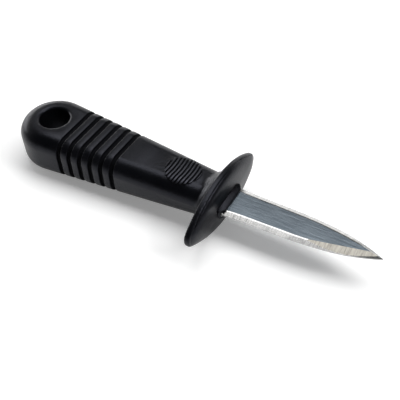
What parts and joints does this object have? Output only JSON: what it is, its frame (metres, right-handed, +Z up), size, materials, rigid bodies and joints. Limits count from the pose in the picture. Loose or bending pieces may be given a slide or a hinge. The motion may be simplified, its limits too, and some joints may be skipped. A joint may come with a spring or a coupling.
{
  "type": "oyster knife",
  "caption": "Short knife for opening oysters, with a pointed leaf-shaped blade, a ribbed soft grip, an oval hand guard and a hole to hang it by.",
  "frame": {"origin": "on the floor under the middle of the knife's outer box, with the knife lying on its guard and butt", "axes": "+X towards the blade's tip, +Y to the far side when the knife is seen from its right, +Z up out of the blade's face"},
  "size_m": [0.1847, 0.0606, 0.0266],
  "materials": {
    "blade_steel": "stainless steel, brushed along its length on the flats, ground across at the edges",
    "core_plastic": "hard black moulded plastic, seen only at the nose round the blade",
    "grip_rubber": "soft black rubber-like moulding with a faint satin sheen"
  },
  "bodies": {
    "root": {"blade": "blade_steel", "core": "core_plastic", "grip": "grip_rubber"}
  },
  "joints": []
}
